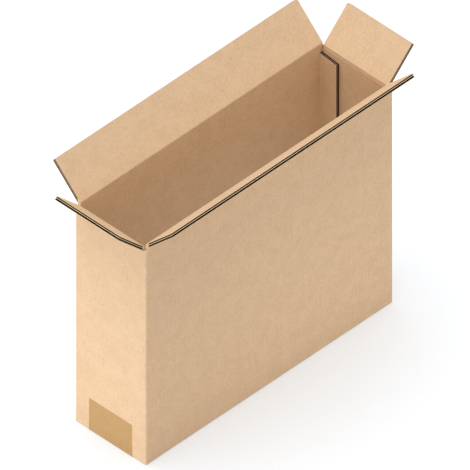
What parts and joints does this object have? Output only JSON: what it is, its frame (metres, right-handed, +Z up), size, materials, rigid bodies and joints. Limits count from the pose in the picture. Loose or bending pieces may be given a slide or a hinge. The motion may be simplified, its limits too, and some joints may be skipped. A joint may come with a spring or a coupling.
{
  "type": "corrugated shipping box",
  "caption": "Narrow double-wall corrugated shipping box, standing open with its top flaps folded outwards and its bottom taped shut.",
  "frame": {"origin": "middle of the underside, on the surface that the box stands on", "axes": "+X along the long walls towards the end wall with the glue tab, +Y from the front long wall to the back one, +Z up"},
  "size_m": [0.524, 0.2096, 0.4017],
  "materials": {
    "board": "matt brown kraft paper",
    "tape": "smooth tan packing tape"
  },
  "bodies": {
    "carton": {"carton_body": "board", "bottom_tape": "tape"},
    "front_flap": {"front_long_flap": "board"},
    "back_flap": {"back_long_flap": "board"},
    "left_flap": {"left_end_flap": "board"},
    "right_flap": {"right_end_flap": "board"}
  },
  "joints": [
    {"name": "front_crease", "type": "hinge", "parent": "carton", "child": "front_flap", "pos_m": [0, -0.06162, 0.3548], "axis": [1, 0, 0], "range_deg": [-135, 130]},
    {"name": "back_crease", "type": "hinge", "parent": "carton", "child": "back_flap", "pos_m": [0, 0.06162, 0.3548], "axis": [-1, 0, 0], "range_deg": [-135, 130]},
    {"name": "left_crease", "type": "hinge", "parent": "carton", "child": "left_flap", "pos_m": [-0.21875, 0, 0.34925], "axis": [0, -1, 0], "range_deg": [-135, 130]},
    {"name": "right_crease", "type": "hinge", "parent": "carton", "child": "right_flap", "pos_m": [0.21875, 0, 0.34925], "axis": [0, 1, 0], "range_deg": [-135, 130]}
  ]
}
